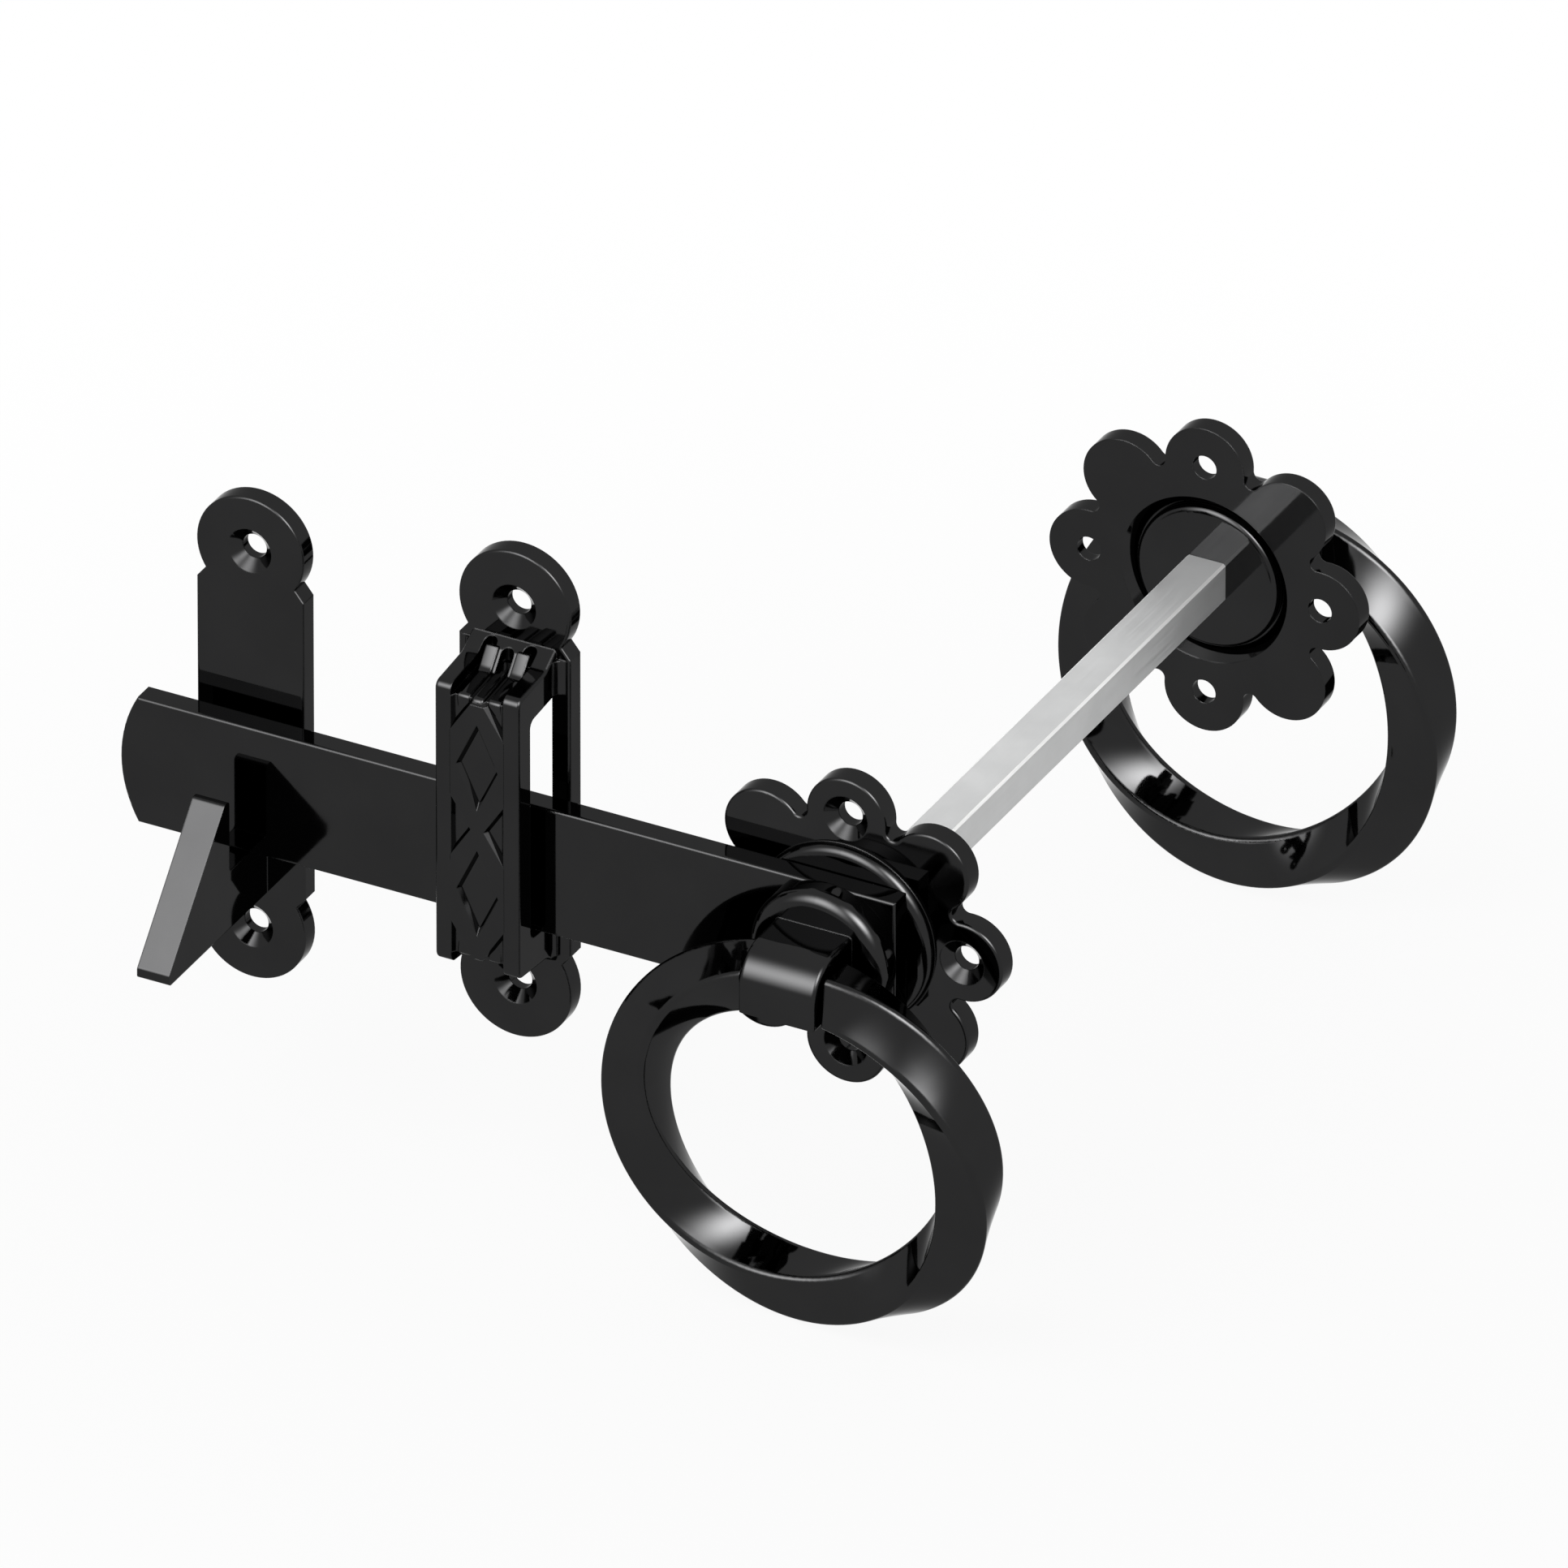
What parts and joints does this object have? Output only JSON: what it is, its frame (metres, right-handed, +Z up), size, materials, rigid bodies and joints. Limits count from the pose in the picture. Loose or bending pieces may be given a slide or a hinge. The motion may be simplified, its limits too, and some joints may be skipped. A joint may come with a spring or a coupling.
{
  "type": "ring gate latch",
  "caption": "Gate latch worked from both sides by twisted rings on petal roses, turning a flat bar that lifts in a ribbed staple and drops behind a ramped keep.",
  "frame": {"origin": "spindle axis at the gate face of the front rose", "axes": "+Y through the gate from the front rose to the back rose, -X towards the bar's tip, +Z up"},
  "size_m": [0.2094, 0.2373, 0.1518],
  "materials": {
    "black_enamel": "gloss",
    "zinc_steel": "satin zinc plate"
  },
  "bodies": {
    "gate_fixed": {"front_rose": "black_enamel", "back_rose": "black_enamel", "staple": "black_enamel", "keep": "black_enamel"},
    "turning": {"front_boss": "black_enamel", "back_boss": "black_enamel", "front_hub": "black_enamel", "back_hub": "black_enamel", "latch_bar": "black_enamel", "spindle": "zinc_steel"},
    "front_handle": {"front_ring": "black_enamel"},
    "back_handle": {"back_ring": "black_enamel"}
  },
  "joints": [
    {"name": "latch_turn", "type": "hinge", "parent": "gate_fixed", "child": "turning", "pos_m": [0, 0, 0], "axis": [0, 1, 0], "range_deg": [0, 13.5]},
    {"name": "front_ring_swing", "type": "hinge", "parent": "turning", "child": "front_handle", "pos_m": [0, -0.0273, 0], "axis": [-1, 0, 0], "range_deg": [-3, 170]},
    {"name": "back_ring_swing", "type": "hinge", "parent": "turning", "child": "back_handle", "pos_m": [0, 0.1817, 0], "axis": [1, 0, 0], "range_deg": [-3, 170]}
  ]
}
